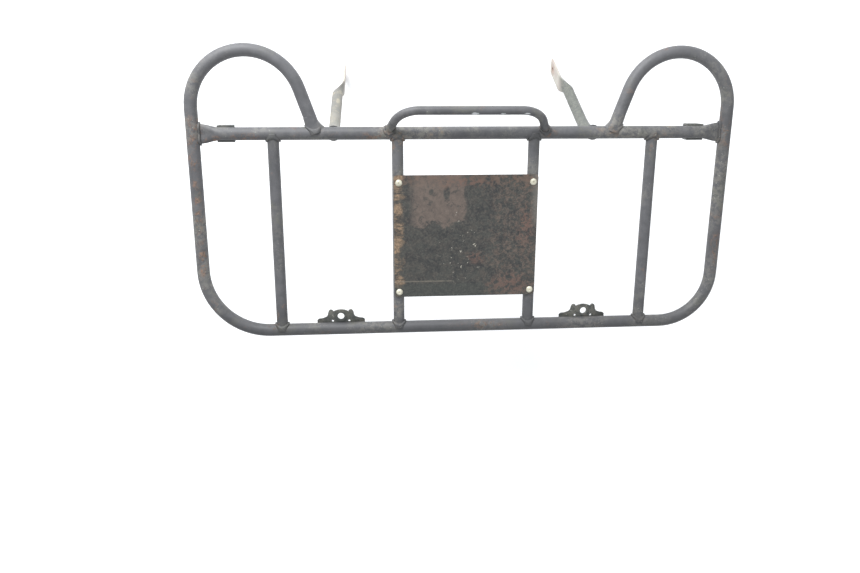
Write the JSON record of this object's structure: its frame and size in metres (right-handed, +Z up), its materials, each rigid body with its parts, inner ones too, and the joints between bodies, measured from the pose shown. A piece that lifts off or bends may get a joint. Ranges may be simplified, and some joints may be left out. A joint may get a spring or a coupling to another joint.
{
  "type": "luggage rack",
  "caption": "Welded steel tube luggage rack for a small all-terrain vehicle, with end loops, a grab handle, bent stays, mounting brackets and a riveted centre plate.",
  "frame": {"origin": "under the middle of the rack, level with the lowest point of the stays", "axes": "+X across the vehicle towards the rack's right, +Y from the outer rail towards the end loops, +Z up"},
  "size_m": [0.822, 0.4401, 0.2661],
  "materials": {
    "tube_paint": "faded dark grey paint with rust and dust",
    "stay_zinc": "dull light grey, pressed ends",
    "bracket_paint": "dark worn paint",
    "plate_paint": "dark paint worn to brown rust",
    "rivet_alloy": "dull cream grey",
    "weld_paint": "painted weld beads, rusty in places"
  },
  "bodies": {
    "root": {"perimeter_tube": "tube_paint", "inner_rail": "tube_paint", "outer_crossbar_left": "tube_paint", "outer_crossbar_right": "tube_paint", "inner_crossbar_left": "tube_paint", "inner_crossbar_right": "tube_paint", "grab_handle": "tube_paint", "stay_left": "stay_zinc", "stay_right": "stay_zinc", "fender_bracket_left": "bracket_paint", "fender_bracket_right": "bracket_paint", "mount_bracket_left": "bracket_paint", "mount_bracket_right": "bracket_paint", "centre_plate": "plate_paint", "plate_rivets": "rivet_alloy", "crossbar_welds": "weld_paint", "ear_welds": "weld_paint", "handle_welds": "weld_paint", "stay_welds": "weld_paint", "rail_end_welds": "weld_paint"}
  },
  "joints": []
}
